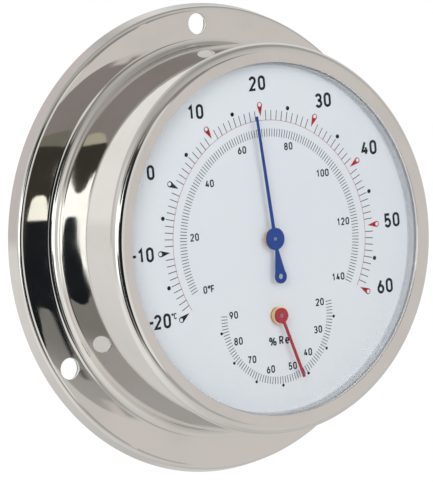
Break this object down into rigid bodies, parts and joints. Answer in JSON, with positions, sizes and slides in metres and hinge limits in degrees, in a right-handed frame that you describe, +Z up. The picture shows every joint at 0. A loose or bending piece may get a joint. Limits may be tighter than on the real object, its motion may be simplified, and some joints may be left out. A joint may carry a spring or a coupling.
{
  "type": "thermo-hygrometer",
  "caption": "Round wall thermo-hygrometer: chromed case with a screw flange, glass, white dial, and two hands turned by a bimetal coil and a moisture coil.",
  "frame": {"origin": "centre of the wall plane, on the case's axis: the plane that the flange's turned rim rests on", "axes": "+Z up, the dial faces -Y, +Y points into the wall, +X is to the right of someone reading the dial"},
  "size_m": [0.125, 0.0325, 0.125],
  "materials": {
    "chrome": "polished nickel-chrome plate on spun brass",
    "clear_glass": "clear flat mineral glass",
    "grey_plastic": "pale grey moulded plastic with a soft gloss",
    "dial_lacquer": "bluish white matt lacquer on aluminium",
    "black_plastic": "black moulded plastic",
    "black_lacquer": "black semi-matt lacquer on steel sheet",
    "brass": "turned brass",
    "bridge_brass": "bent brass strip, satin",
    "steel": "zinc-plated steel",
    "arbor_steel": "polished steel",
    "bimetal": "rolled bimetal strip",
    "moisture_film": "coated strip that swells with moisture",
    "blue_lacquer": "blue satin lacquer on aluminium",
    "red_lacquer": "red satin lacquer on aluminium"
  },
  "bodies": {
    "case_assembly": {"case": "chrome", "glass": "clear_glass", "spacer_ring": "grey_plastic", "dial": "dial_lacquer", "carrier_sleeve": "black_plastic", "back_cover": "black_lacquer", "cover_studs": "brass", "cover_nuts": "steel", "thermometer_bush": "brass", "thermometer_bush_nut": "brass", "thermometer_bridge": "bridge_brass", "thermometer_rear_bearing": "brass", "hygrometer_bush": "brass", "hygrometer_bush_nut": "brass", "hygrometer_bridge": "bridge_brass", "hygrometer_rear_bearing": "brass"},
    "temperature_regulator": {"temperature_adjuster": "steel", "bimetal_coil": "bimetal"},
    "humidity_regulator": {"humidity_adjuster": "steel", "moisture_coil": "moisture_film"},
    "temperature_hand": {"temperature_pointer": "blue_lacquer", "temperature_hand_collet": "brass", "temperature_arbor": "arbor_steel", "bimetal_collet": "brass"},
    "humidity_hand": {"humidity_pointer": "red_lacquer", "humidity_hand_collet": "brass", "humidity_arbor": "arbor_steel", "moisture_collet": "brass"}
  },
  "joints": [
    {"name": "temperature_adjust", "type": "hinge", "parent": "case_assembly", "child": "temperature_regulator", "pos_m": [0, -0.0124, 0], "axis": [0, 1, 0], "range_deg": [-8, 8]},
    {"name": "temperature_turn", "type": "hinge", "parent": "temperature_regulator", "child": "temperature_hand", "pos_m": [0, -0.02, 0], "axis": [0, 1, 0], "range_deg": [-115.5, 124.5], "stiffness_Nm_per_rad": 0.0018, "deforming": ["bimetal_coil"]},
    {"name": "humidity_adjust", "type": "hinge", "parent": "case_assembly", "child": "humidity_regulator", "pos_m": [0, -0.0124, -0.0201], "axis": [0, 1, 0], "range_deg": [-8, 8]},
    {"name": "humidity_turn", "type": "hinge", "parent": "humidity_regulator", "child": "humidity_hand", "pos_m": [0, -0.02, -0.0201], "axis": [0, 1, 0], "range_deg": [-77.3, 114.5], "stiffness_Nm_per_rad": 0.0009, "deforming": ["moisture_coil"]}
  ]
}
